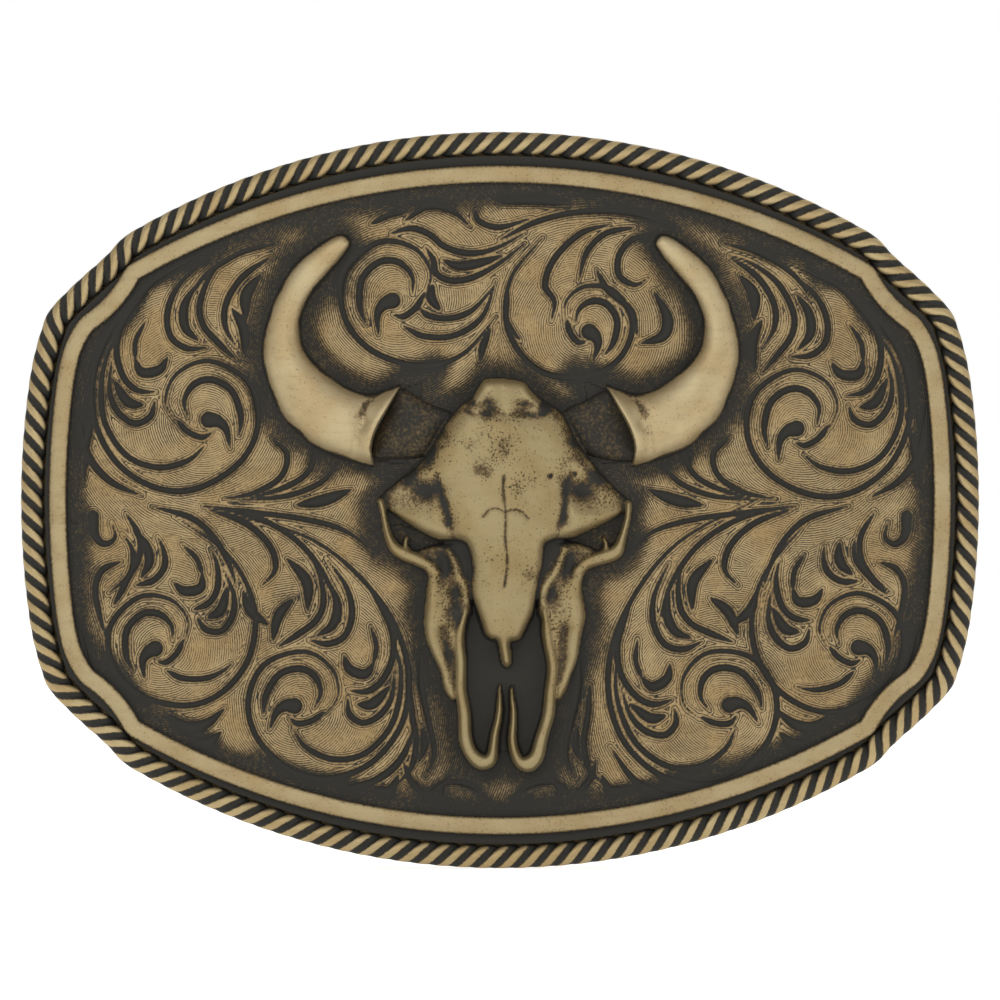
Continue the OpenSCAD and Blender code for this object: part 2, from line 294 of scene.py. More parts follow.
# Leaves along the top, between the horns.
TOP_CUTS = [
    ("line", 0.5, [(-12.4, 26.4), (-10.5, 27.3), (-8.8, 27.6)]),
    ("line", 0.55, [(-10.5, 25.5), (-8.5, 26.0), (-6.7, 25.4), (-5.2, 24.2), (-2.8, 23.6), (-0.4, 24.1),
                    (2.5, 25.6)]),
    ("line", 0.55, [(-7.1, 24.2), (-6.4, 23.0), (-6.1, 21.7), (-4.7, 21.0), (-2.6, 21.3), (0.0, 22.7),
                    (2.4, 24.6)]),
    ("blade", 0.9, [(-5.5, 23.0), (-4.0, 22.4), (-1.9, 22.7), (0.3, 23.4)]),
    ("blade", 0.9, [(-6.4, 20.6), (-6.6, 19.4), (-5.7, 18.1)]),
    ("line", 0.5, [(-7.8, 18.4), (-6.7, 17.6), (-4.7, 17.4), (-2.6, 18.2), (-0.6, 20.4)]),
    ("line", 0.5, [(0.8, 20.0), (0.6, 17.2), (2.0, 15.2)]),
    ("blade", 0.7, [(-0.9, 16.5), (-1.6, 14.8), (-1.9, 13.3)]),
    ("line", 0.5, [(-9.1, 26.7), (-6.9, 28.1), (-4.5, 27.6), (-2.8, 26.1)]),
    ("line", 0.5, [(-2.4, 27.9), (-2.0, 26.7), (0.0, 26.1), (3.1, 27.0)]),
    ("line", 0.5, [(0.0, 24.9), (3.7, 26.7), (8.0, 27.6), (12.9, 27.4), (17.2, 26.0)]),
    ("blade", 0.6, [(0.0, 28.4), (3.1, 28.6), (6.6, 28.3)]),
    ("line", 0.55, [(14.1, 25.2), (12.6, 24.9), (11.4, 23.4), (11.4, 21.5), (12.9, 20.6), (14.1, 21.2)]),
    ("line", 0.5, [(12.9, 26.1), (10.1, 25.5), (8.3, 23.7), (7.5, 20.9)]),
    ("line", 0.55, [(10.6, 26.4), (7.7, 25.5), (5.2, 23.1), (4.3, 20.6), (5.2, 19.0), (4.9, 17.1)]),
    ("line", 0.5, [(9.2, 22.1), (10.4, 20.0), (12.6, 18.1), (13.2, 15.7)]),
    ("blade", 1.1, [(13.5, 15.0), (15.6, 15.7), (16.0, 17.5), (14.7, 20.0)]),
]
WHEEL_PLACES = np.array([[x, z] for x, z, *_ in WHEELS])
WHEEL_RINGS = np.array([ring for _, _, ring, *_ in WHEELS])
# A wheel's cuts stop at this share of the way to where another wheel is as near.
OWN_SHARE = 0.98
# The share of its full width that a cut has along its length, which runs from 0 to 1.
TAPER = {
    "line": lambda t: np.minimum(1, 5 * t) ** 0.7 * np.minimum(1, 3 * (1 - t)) ** 0.8,
    "blade": lambda t: np.sin(math.pi * np.clip(t, 0.01, 0.99)) ** 0.8,
    "drop": lambda t: (1 - t) ** 0.8,
}


def wheel_cuts(number):
    """The cuts of one wheel, put in its place. All but its stem stop about half way to the
    next wheel, each distance counted in that wheel's own rings."""
    x, z, ring, hand, turn, reach, count = WHEELS[number]
    cuts = []
    for kind, width, points in WHEEL_CUTS[:count]:
        kept = [(hour, radius) for hour, radius in points if radius <= reach]
        if len(kept) < 2:
            continue
        hours, radii = np.array(kept).T
        turns = np.radians(hours * 30 + turn)
        placed = np.stack([x + hand * ring * radii * np.sin(turns), z + ring * radii * np.cos(turns)], axis=1)
        is_stem = not cuts
        if not is_stem:
            placed = smooth_line(placed, 4)
            away = np.linalg.norm(placed[:, None] - WHEEL_PLACES, axis=2) / WHEEL_RINGS
            own = away[:, number] < OWN_SHARE * np.delete(away, number, axis=1).min(axis=1)
            runs = np.split(np.arange(len(own)), np.flatnonzero(np.diff(own)) + 1)
            longest = max((run for run in runs if own[run[0]]), key=len, default=[])
            placed = placed[longest]
        if len(placed) > 2:
            cuts.append((kind, width, placed))
    return cuts


def all_cuts():
    """Every cut of the engraved field, in millimetres on the face."""
    cuts = [cut for number in range(len(WHEELS)) for cut in wheel_cuts(number)]
    for side in (1, -1):
        cuts += [(kind, width, np.array(points) * [side, 1]) for kind, width, points in SIDE_CUTS]
    return cuts + [(kind, width, np.array(points)) for kind, width, points in TOP_CUTS]


# Distances from the cuts are needed only up to here, as the leaves fade out before it.
FAR = 4.2


def from_cuts(xs, zs):
    """Distance to the edge of the nearest cut over the whole field, negative inside a cut."""
    nearest = np.full((len(zs), len(xs)), FAR)
    for kind, width, points in all_cuts():
        line = smooth_line(points)
        halves = 0.5 * CUT_W * width * TAPER[kind](np.linspace(0, 1, len(line)))
        low = line.min(axis=0) - FAR
        high = line.max(axis=0) + FAR
        i0, i1 = np.searchsorted(xs, [low[0], high[0]])
        j0, j1 = np.searchsorted(zs, [low[1], high[1]])
        x, z = np.meshgrid(xs[i0:i1], zs[j0:j1])
        part = nearest[j0:j1, i0:i1]
        np.minimum(part, from_line(line, x, z, halves), out=part)
    return nearest


# ---- meshes ----

def finished(name, mesh_maker, body, material, stands_for=()):
    """A closed mesh as a piece that rides on a body."""
    mesh_maker.normal_update()
    mesh = bpy.data.meshes.new(name)
    mesh_maker.to_mesh(mesh)
    mesh_maker.free()
    piece = bpy.data.objects.new(name, mesh)
    bpy.context.scene.collection.objects.link(piece)
    mesh.materials.append(material)
    mesh.polygons.foreach_set("use_smooth", np.ones(len(mesh.polygons), bool))
    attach(piece, body)
    if stands_for:
        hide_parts(*stands_for)
    return piece


def coordinates(mesh):
    """A mesh's points as a table."""
    flat = np.empty(len(mesh.vertices) * 3, np.float32)
    mesh.vertices.foreach_get("co", flat)
    return flat.reshape(-1, 3).astype(float)


def set_points(mesh, places, **attributes):
    """Moves a mesh's points, and gives each point its named numbers."""
    mesh.vertices.foreach_set("co", places.astype(np.float32).ravel())
    for name, values in attributes.items():
        attribute = mesh.attributes.new(name, "FLOAT", "POINT")
        attribute.data.foreach_set("value", values.astype(np.float32))
    mesh.update()


def relief(name, xs, zs, height, kept, sunk, body, material, stands_for=(), slot=None, **attributes):
    """A closed piece whose front is a fine grid raised to the given heights. kept says which
    cells it has, and its back follows the bow a little way inside the plate. The back needs
    no fine cells, so the edges across it are dissolved."""
    columns, rows = len(xs) - 1, len(zs) - 1
    bm = bmesh.new()
    bmesh.ops.create_grid(bm, x_segments=columns, y_segments=rows, size=1)

    def cell(face):
        middle = face.calc_center_median()
        return int((middle.y + 1) / 2 * rows), int((middle.x + 1) / 2 * columns)

    bmesh.ops.delete(bm, geom=[f for f in bm.faces if not kept[cell(f)]], context="FACES")
    behind = list(bm.faces)
    grown = bmesh.ops.extrude_face_region(bm, geom=behind, use_keep_orig=True)["geom"]
    front = [v for v in grown if isinstance(v, bmesh.types.BMVert)]
    bmesh.ops.translate(bm, verts=front, vec=(0, 0, 1))
    bmesh.ops.recalc_face_normals(bm, faces=bm.faces)
    behind = set(behind)
    across = [e for e in bm.edges if e.verts[0].co.z < 0.5 and e.verts[1].co.z < 0.5
              and abs(e.verts[0].co.y - e.verts[1].co.y) < 0.1 / rows
              and all(f in behind for f in e.link_faces)]
    bmesh.ops.dissolve_edges(bm, edges=across, use_verts=True)
    piece = finished(name, bm, body, material, stands_for)
    local = coordinates(piece.data)
    i = np.rint((local[:, 0] + 1) / 2 * columns).astype(int)
    j = np.rint((local[:, 1] + 1) / 2 * rows).astype(int)
    is_front = local[:, 2] > 0.5
    rise = np.where(is_front, height[j, i], -sunk)
    values = {key: np.where(is_front, table[j, i], 0) for key, table in attributes.items()}
    set_points(piece.data, bowed(xs[i], zs[j], rise), **values)
    return piece


# Points nearer than this, in metres, are one point of a seam.
SEAM_GAP = 1e-7


def wrapped(name, x, z, height, body, material, stands_for=(), slot=None, twist=0, **attributes):
    """A closed ring rolled up from a grid: one row of points for each section of the ring. A
    grid whose rows wind round the ring joins up that many rows further on."""
    rings, sides = x.shape
    bm = bmesh.new()
    bmesh.ops.create_grid(bm, x_segments=rings, y_segments=sides, size=1)
    layers = {key: bm.verts.layers.float.new(key) for key in attributes}
    places = bowed(x, z, height)
    for v in bm.verts:
        row = round((v.co.x + 1) / 2 * rings)
        side = round((v.co.y + 1) / 2 * sides)
        if side == sides:
            row -= twist
        i = row % rings
        j = side % sides
        v.co = places[i, j]
        for key, layer in layers.items():
            v[layer] = attributes[key][i, j]
    bmesh.ops.remove_doubles(bm, verts=bm.verts, dist=SEAM_GAP)
    bmesh.ops.recalc_face_normals(bm, faces=bm.faces)
    return finished(name, bm, body, material, stands_for)


def outward(path):
    """The unit vector away from the middle at each point of a closed clockwise path."""
    along = np.roll(path, -1, axis=0) - np.roll(path, 1, axis=0)
    along /= np.linalg.norm(along, axis=1)[:, None]
    return np.stack([-along[:, 1], along[:, 0]], axis=1)


# ---- materials ----

def linear(hex_colour):
    """An sRGB hex colour as linear red, green, blue and alpha."""
    channels = [int(hex_colour[k:k + 2], 16) / 255 for k in (1, 3, 5)]
    return [c / 12.92 if c <= 0.04045 else ((c + 0.055) / 1.055) ** 2.4 for c in channels] + [1]


def add(tree, kind, inputs=None, **settings):
    """Adds a node with its settings; an input that is a socket is linked."""
    made = tree.nodes.new(kind)
    for name, value in settings.items():
        setattr(made, name, value)
    for name, value in (inputs or {}).items():
        if isinstance(value, bpy.types.NodeSocket):
            tree.links.new(value, made.inputs[name])
        else:
            made.inputs[name].default_value = value
    return made


def new_material(name):
    """An empty material and its shader, a full metal."""
    material = bpy.data.materials.new(name)
    material.use_nodes = True
    tree = material.node_tree
    tree.nodes.clear()
    shader = add(tree, "ShaderNodeBsdfPrincipled", {"Metallic": 1.0})
    add(tree, "ShaderNodeOutputMaterial", {"Surface": shader.outputs[0]})
    return material, tree, shader


def ramp(tree, value, low, high, start=0.0, end=1.0):
    """value mapped smoothly from the range low to high onto start to end."""
    made = add(tree, "ShaderNodeMapRange", {"Value": value, "From Min": low, "From Max": high,
                                            "To Min": start, "To Max": end},
               interpolation_type="SMOOTHSTEP")
    return made.outputs["Result"]


def maths(tree, operation, a, b=0.0):
    """One sum of two values."""
    return add(tree, "ShaderNodeMath", {0: a, 1: b}, operation=operation).outputs[0]


def mixed(tree, share, a, b):
    """Two colours mixed by share. Sockets 6, 7 and 2 are the node's colour ones."""
    return add(tree, "ShaderNodeMix", {"Factor": share, 6: a, 7: b}, data_type="RGBA").outputs[2]


def noise(tree, place, size_mm, detail=3.0, stretch=(1, 1, 1)):
    """Noise whose features are about size_mm across."""
    scale = [s / (size_mm * MM) for s in stretch]
    scaled = add(tree, "ShaderNodeMapping", {"Vector": place, "Scale": scale})
    made = add(tree, "ShaderNodeTexNoise", {"Vector": scaled.outputs[0], "Scale": 1.0, "Detail": detail})
    return made.outputs["Fac"]


# Brass with its blacking rubbed right off, half off and not at all, and the brown that
# stays in a casting pit.
RELIEVED = "#AB9B78"
BRASS_DULL = "#75644A"
PATINA = "#403F3B"
PIT_BROWN = "#453A2A"
# How much of its red, green, blue and alpha rubbed brass keeps in its warmer patches.
WARM_SHARES = (0.88, 0.82, 0.74, 1)
# Sizes of the patches left by uneven rubbing, of the cast grain, of the brush streaks and
# of the pits. Real grain and pits are finer still, and wouldn't show.
PATCH_MM = 4.0
GRAIN_MM = 0.3
STREAK_MM = 0.6
PIT_MM = 0.2
# The streaks' scale along each axis: they run across the object, eight times as long as high.
STREAK_STRETCH = (0.12, 1, 1)


def varied(tree, value, pattern, weight):
    """value with a pattern added that swings about nothing by a weight."""
    swing = maths(tree, "MULTIPLY", maths(tree, "SUBTRACT", pattern, 0.5), weight)
    return maths(tree, "ADD", value, swing)


def antiqued(tree, shader, wear, place, relieved=RELIEVED, pits=0.5, streaks=0.3, bump_from=None,
             bump_mm=0.03, satin=0.58):
    """Brass that was blackened all over and then rubbed back: black in the hollows, dull brass on the slopes
    and pale satin brass on the high places, with casting pits. The wear it is given also holds painted shade
    on the skull and on the engraved field."""
    cloud = noise(tree, place, PATCH_MM)
    grain = noise(tree, place, GRAIN_MM, detail=5.0)
    brushed = noise(tree, place, STREAK_MM, detail=4.0, stretch=STREAK_STRETCH)
    rubbed_and_shaded = varied(tree, varied(tree, wear, grain, 0.75), cloud, 0.3)
    dirt = maths(tree, "MULTIPLY", maths(tree, "MAXIMUM", maths(tree, "SUBTRACT", 0.95, wear)), 0.3)
    speck = maths(tree, "ADD", noise(tree, place, PIT_MM, detail=2.0), dirt)
    clustered = ramp(tree, cloud, 0.35, 0.6, 0.4 * pits, pits)
    pitted = maths(tree, "MULTIPLY", ramp(tree, speck, 0.62, 0.7), clustered)
    pitted = maths(tree, "MULTIPLY", pitted, ramp(tree, wear, 0.15, 0.45))
    warm = [channel * share for channel, share in zip(linear(relieved), WARM_SHARES)]
    bright = mixed(tree, ramp(tree, cloud, 0.35, 0.7), linear(relieved), warm)
    streak = maths(tree, "MULTIPLY", ramp(tree, brushed, 0.45, 0.75), streaks)
    bright = mixed(tree, streak, bright, linear(BRASS_DULL))
    slope = mixed(tree, ramp(tree, rubbed_and_shaded, 0.14, 0.48), linear(PATINA), linear(BRASS_DULL))
    colour = mixed(tree, ramp(tree, rubbed_and_shaded, 0.36, 0.72), slope, bright)
    colour = mixed(tree, pitted, colour, linear(PIT_BROWN))
    tree.links.new(colour, shader.inputs["Base Color"])
    rough = ramp(tree, rubbed_and_shaded, 0.2, 0.9, satin + 0.14, satin)
    tree.links.new(rough, shader.inputs["Roughness"])
    height = maths(tree, "SUBTRACT", maths(tree, "MULTIPLY", grain, 0.4), pitted)
    if bump_from is not None:
        height = maths(tree, "ADD", height, bump_from)
    bump = add(tree, "ShaderNodeBump", {"Height": height, "Distance": bump_mm * MM, "Strength": 0.5})
    tree.links.new(bump.outputs[0], shader.inputs["Normal"])


def own_place(tree):
    """Where a point lies on the piece, in metres."""
    return add(tree, "ShaderNodeTexCoord").outputs["Object"]


def attribute(tree, name):
    """A number that the mesh holds at each point."""
    return add(tree, "ShaderNodeAttribute", attribute_name=name).outputs["Fac"]


def rubbed_brass(name, relieved=RELIEVED, pits=0.5, streaks=0.3, satin=0.58):
    """Blackened and rubbed brass that follows the wear held by the mesh, which on the skull also holds
    painted shade.
    """
    material, tree, shader = new_material(name)
    antiqued(tree, shader, attribute(tree, "wear"), own_place(tree), relieved, pits, streaks, satin=satin)
    return material


# How far apart the engraver's shading lines are.
LINE_PITCH = 0.215


def engraved_brass():
    """The engraved field: bright leaves, black cuts with crisp edges, the engraver's fine shading lines,
    which run beside each cut and then round each wheel, and painted shade that darkens each leaf towards its
    cuts."""
    # Hand-engraved and blackened: to the eye, dull gold leaves that shimmer with dark hatching.
    material, tree, shader = new_material("engraved_brass")
    place = own_place(tree)
    cut = attribute(tree, "cut")
    leaf = attribute(tree, "leaf")
    wander = maths(tree, "MULTIPLY", noise(tree, place, 3.0), 0.5)
    lines = []
    for beside, low, high in ((cut, 1.0, 0.0), (attribute(tree, "flow"), 0.0, 1.0)):
        phase = maths(tree, "MULTIPLY", maths(tree, "ADD", beside, wander), 2 * math.pi / LINE_PITCH)
        line = ramp(tree, maths(tree, "SINE", phase), 0.05, 0.75)
        lines.append(maths(tree, "MULTIPLY", line, ramp(tree, cut, 0.35, 0.75, low, high)))
    patchy = ramp(tree, noise(tree, place, 2.2), 0.3, 0.55, 0.55, 1.0)
    hatch = maths(tree, "MULTIPLY", maths(tree, "ADD", *lines), patchy)
    hatch = maths(tree, "MULTIPLY", hatch, ramp(tree, cut, 0.08, 0.2))
    open_metal = ramp(tree, cut, -0.03, 0.09)
    # Painted shade: each leaf darkens smoothly towards its cuts, for a scooped look, and this goes into the
    # wear.
    shaded = ramp(tree, cut, 0.02, 0.7, 0.2, 0.0)
    wear = maths(tree, "SUBTRACT", leaf, maths(tree, "ADD", shaded, maths(tree, "MULTIPLY", hatch, 0.55)))
    wear = maths(tree, "MULTIPLY", wear, open_metal)
    height = maths(tree, "SUBTRACT", open_metal, maths(tree, "MULTIPLY", hatch, 0.5))
    antiqued(tree, shader, wear, place, "#A99570", 0.35, 0.3, maths(tree, "MULTIPLY", height, 1.5), 0.05)
    return material


# How much the wear of a plain piece drifts up and down, and the size of the drift.
DRIFT = 0.06
DRIFT_MM = 9.0


def plain_brass(name, wear, relieved=RELIEVED, satin=0.58):
    """Blackened and rubbed brass, evenly worn, for the pieces that the CAD model holds."""
    material, tree, shader = new_material(name)
    place = own_place(tree)
    cloud = ramp(tree, noise(tree, place, DRIFT_MM), 0.3, 0.7, wear - DRIFT, wear + DRIFT)
    antiqued(tree, shader, cloud, place, relieved, pits=0.25, streaks=0.35, satin=satin)
    return material


# ---- the face's pieces ----

def grid_lines(low, high, step):
    """Evenly spaced grid lines over a range."""
    return np.linspace(low, high, int(round((high - low) / step)) + 1)


def cells_of(points):
    """Which cells have all four corners kept."""
    return points[:-1, :-1] & points[1:, :-1] & points[:-1, 1:] & points[1:, 1:]


# A right-hand horn, from its tip: along its outer edge to the root, back along its inner
# edge, and down its middle. The mouth is the line where its sheath ends.
HORN_OUTER = [(15.0, 25.2), (15.6, 25.5), (16.6, 25.2), (18.0, 24.4), (20.3, 22.4), (22.1, 19.3),
              (23.1, 16.2), (23.35, 13.8), (22.8, 11.4), (21.5, 8.3), (19.3, 5.9), (16.9, 4.4),
              (13.1, 3.25), (9.0, 2.95)]
HORN_INNER = [(7.0, 12.4), (10.1, 11.05), (11.4, 10.6), (13.5, 10.2), (15.9, 11.2), (17.8, 12.8),
              (19.2, 14.5), (19.6, 16.5), (19.1, 18.6), (17.7, 20.6), (16.2, 22.4), (14.9, 24.1),
              (14.7, 24.7)]
HORN_MIDDLE = [(15.1, 25.0), (17.3, 23.3), (19.4, 21.3), (20.95, 18.7), (21.45, 15.4), (20.9, 12.9),
               (19.8, 10.9), (17.9, 9.1), (16.1, 7.9), (14.4, 7.15), (12.0, 7.05), (8.0, 7.3)]
HORN_MOUTH = [(9.2, 12.5), (10.0, 10.9), (11.2, 8.8), (12.3, 6.8), (12.8, 5.0), (12.5, 3.0)]
# The right horn's width as a share of the left one's.
RIGHT_HORN = 0.966

# Right-hand halves of outlines that are the same on both sides, from top to bottom.
CRANIUM = [(0, 9.3), (2.2, 9.1), (4.1, 9.1), (5.2, 8.3), (6.0, 7.0), (7.0, 5.2), (8.5, 3.3), (10.0, 1.9),
           (11.3, 0.75), (12.0, 0.1), (12.0, -0.6), (10.5, -1.6), (9.0, -2.5), (7.3, -3.4), (6.2, -3.85),
           (4.6, -3.95), (3.75, -4.5), (3.5, -6.6), (3.3, -8.6), (2.75, -10.6), (2.2, -12.0), (1.75, -13.0),
           (1.2, -13.4), (0.66, -13.6), (0.56, -14.6), (0.5, -15.5), (0.2, -15.9), (0, -15.95)]
CREST = [(0, 11.7), (1.4, 11.6), (2.1, 11.3), (2.5, 10.7), (3.0, 10.1), (3.9, 9.4), (4.5, 8.8),
         (3.4, 7.4), (0, 6.6)]
THROAT = [(0, -10), (3.4, -10.4), (4.2, -16), (3.2, -24), (1.8, -25.2), (0, -24)]
# Whole outlines of the right-hand cheek and horn core.
MAXILLA = [(3.4, -4.0), (6.0, -4.0), (8.2, -4.6), (8.9, -5.3), (8.2, -6.2), (7.5, -7.4), (7.5, -8.8),
           (7.7, -10.5), (7.7, -11.9), (7.1, -14.6), (6.3, -16.6), (5.8, -18.3), (5.0, -19.2), (4.6, -18.0),
           (4.2, -14.5), (3.9, -11.6), (3.1, -10.4)]
HORN_CORE = [(5.2, 8.2), (7.5, 9.4), (10.2, 10.6), (11.6, 8.0), (12.6, 5.6), (12.6, 3.9), (9.5, 3.9),
             (7.6, 4.4), (6.4, 6.0)]
# Round bars of bone on the right, each with its half widths from end to end.
JAW_BAR = [(3.75, -10.6), (4.15, -12.4), (4.35, -14.6), (4.4, -17.0), (4.15, -19.5), (3.75, -22.2),
           (3.2, -24.2), (2.35, -25.1), (1.45, -24.95), (0.98, -23.8), (0.78, -21.6), (0.64, -19.6),
           (0.56, -17.8)]
JAW_HALVES = [0.38, 0.6, 0.62, 0.62, 0.65, 0.68, 0.74, 0.84, 0.68, 0.52, 0.42, 0.3, 0.1]
CHEEK_BAR = [(11.85, -0.2), (11.6, -1.9), (11.15, -3.6), (10.6, -4.7), (9.8, -5.2), (8.7, -5.6),
             (7.6, -6.1), (6.8, -6.9)]
CHEEK_HALVES = [0.34, 0.34, 0.48, 0.7, 0.78, 0.74, 0.72, 0.7]
CHEEK_HOOK = [(9.4, -3.6), (9.6, -4.3), (9.3, -5.1)]
HOOK_HALVES = [0.22, 0.32, 0.45]
# Each crease, for the right-hand side, with its half width and its strength.
CREASES = [([(6.5, 2.5), (5.95, 0.9), (5.6, -1.2), (4.9, -3.4)], 0.42, 0.42),
           ([(0, 2.3), (0, -2.0), (0, -5.0), (0, -8.3)], 0.16, 0.6),
           ([(2.2, -1.75), (1.5, -1.0), (0.6, -0.9), (0, -1.25)], 0.14, 0.55)]
# Small round pits at the viewer's right of the brow, and their radius.
BROW_PITS = [(4.45, 2.3), (6.75, 2.4)]
BROW_PIT_R = 0.22
CREASE_DEPTH = 0.45
# The cheek's long groove and the ridge above it: a line, half a width and a height.
CHEEK_LINES = [([(5.8, -12.4), (5.5, -14.6), (5.1, -17.2)], 0.55, -0.45),
               ([(5.6, -4.8), (4.7, -6.8), (3.8, -8.7)], 0.4, 0.4)]
# Soft swellings, or hollows where the last number is negative: the middle, the reach across
# and up, and the height. The brow's are the eye's hollow, the one below it, the ridge over
# the cheekbone and the middle of the brow.
BROW_SWELLS = [((7.2, 1.0), 1.6, 1.3, -1.0), ((5.6, -2.2), 0.8, 1.5, -0.5), ((8.6, -1.6), 3.0, 0.7, 0.3),
               ((0, 5.5), 2.4, 2.6, 0.2)]
CHEEK_SWELLS = [((6.9, -11.4), 0.9, 2.6, 0.35), ((5.9, -6.6), 0.8, 1.7, -0.5), ((4.6, -9.0), 0.7, 1.3, -0.6)]
# Heights of the parts over the face. OFF marks points that lie outside a part.
JAW_TOP = 2.2
CHEEK_BAR_TOP = 1.9
HOOK_TOP = 1.5
CORE_TOP = 1.15
THROAT_TOP = 0.25
OFF = -1


def mirrored_outline(half):
    """A smooth closed outline from its right-hand half, listed from top to bottom."""
    right = smooth_line(half, 4)
    return np.concatenate([right, right[::-1] * [-1, 1]])


def rounded(depth, reach):
    """A quarter-round edge: 0 at the outline and 1 once reach inside it."""
    t = np.clip(depth / reach, 0, 1)
    return np.sqrt(1 - (1 - t) ** 2)


def bar(points, u, z, thick, top):
    """The height of a round bar along a smooth line, or OFF outside it."""
    line = smooth_line(points)
    halves = np.interp(np.linspace(0, 1, len(line)), np.linspace(0, 1, len(thick)), thick)
    depth = -from_line(line, u, z, halves)
    return np.where(depth > 0, top * rounded(depth, np.mean(thick)), OFF)


def bump_at(u, z, at, across, up):
    """A soft round swelling about a point."""
    return np.exp(-((u - at[0]) / across) ** 2 - ((z - at[1]) / up) ** 2)


def swelled(height, u, z, swells):
    """The heights with soft swellings and hollows added."""
    for at, across, up, rise in swells:
        height = height + rise * bump_at(u, z, at, across, up)
    return height


def creased(x, z):
    """How far a point lies down in one of the skull's creases or pits, from 0 to 1."""
    down = np.zeros(x.shape)
    for points, width, strength in CREASES:
        gap = from_line(smooth_line(points), np.abs(x), z)
        down = np.maximum(down, strength * np.exp(-(gap / width) ** 2))
    for at in BROW_PITS:
        down = np.maximum(down, bump_at(x, z, at, BROW_PIT_R, BROW_PIT_R))
    return down


def cranium_height(x, z):
    """Heights of the brow and the nose, and of the crest behind the brow."""
    u = np.abs(x)
    depth = inside_by(mirrored_outline(CRANIUM), x, z)
    nose = step_between(-2.5, -6, z)
    dome = 3.8 - 0.02 * u ** 2 - 0.03 * np.maximum(z - 5, 0) ** 2 - 0.1 * np.maximum(u - 6.5, 0)
    roof = 3.5 - 0.1 * u ** 2 - 0.09 * np.maximum(-6 - z, 0)
    top = swelled(dome * (1 - nose) + roof * nose, u, z, BROW_SWELLS)
    top = top - CREASE_DEPTH * creased(x, z)
    slope = 0.9 + 1.6 * step_between(-0.5, 3.5, z)
    cranium = np.where(depth > 0, top * (0.4 + 0.6 * rounded(depth, slope)), OFF)
    depth = inside_by(mirrored_outline(CREST), x, z)
    knob = 2.9 + 0.25 * np.cos(2.2 * x)
    return np.maximum(cranium, np.where(depth > 0, knob * (0.2 + 0.8 * rounded(depth, 1.0)), OFF))


def cheek_height(u, z):
    """Heights of the cheeks, which slope down towards the brow."""
    depth = inside_by(smooth_line(MAXILLA, 4, closed=True), u, z)
    top = swelled(1.8 - 0.5 * step_between(-8, -4.5, z), u, z, CHEEK_SWELLS)
    for points, width, rise in CHEEK_LINES:
        gap = from_line(smooth_line(points), u, z)
        top = top + rise * np.exp(-(gap / width) ** 2)
    return np.where(depth > 0, top * (0.35 + 0.65 * rounded(depth, 0.8)), OFF)


def skull_height(x, z):
    """Heights of the skull over the face, its middle at x 0: the highest part wins."""
    u = np.abs(x)
    core = inside_by(smooth_line(HORN_CORE, 4, closed=True), u, z)
    throat = inside_by(mirrored_outline(THROAT), x, z)
    parts = [cranium_height(x, z), cheek_height(u, z),
             bar(JAW_BAR, u, z, JAW_HALVES, JAW_TOP),
             bar(CHEEK_BAR, u, z, CHEEK_HALVES, CHEEK_BAR_TOP),
             bar(CHEEK_HOOK, u, z, HOOK_HALVES, HOOK_TOP),
             np.where(core > 0, CORE_TOP * rounded(core, 2.2), OFF),
             np.where(throat > 0, THROAT_TOP, OFF)]
    return np.max(parts, axis=0)


def skull_stain_and_shade(x, z):
    """Where blacking stays on the bone: patches on the brow, the eyes' hollows, the cheeks' grooves, and
    speckles that thicken towards the brow's rim. Also painted shade in a band under the brow, from beside the
    nose out over the top of the cheeks."""
    u = np.abs(x)
    stain_and_shade = 2.7 * bump_at(x, z, (-2.3, 2.9), 1.2, 1.0) + 2.5 * bump_at(x, z, (-0.2, 5.2), 1.5, 1.7)
    stain_and_shade += 1.6 * bump_at(u, z, (7.6, 0.9), 1.6, 1.2) + 0.9 * bump_at(u, z, (5.6, -1.6), 0.9, 2.0)
    # Painted shade: a dark band under the brow, from beside the nose out over the top of the cheeks.
    stain_and_shade += step_between(3.4, 3.8, u) * step_between(-11.0, -6.5, z) * step_between(-3.2, -4.6, z)
    stain_and_shade += 0.7 * bump_at(u, z, (5.6, -14.6), 0.5, 2.4)
    stain_and_shade += 1.8 * bump_at(u, z, (2.1, 9.3), 1.0, 0.5)
    depth = np.maximum(inside_by(mirrored_outline(CRANIUM), x, z), inside_by(mirrored_outline(CREST), x, z))
    stain_and_shade += step_between(1.9, 0.2, depth) * step_between(-0.8, 1.5, z) * (2.4 + hammered(x.shape, 3, 7))
    return stain_and_shade + 0.9 * np.maximum(hammered(x.shape, 5, 8) - 0.4, 0)


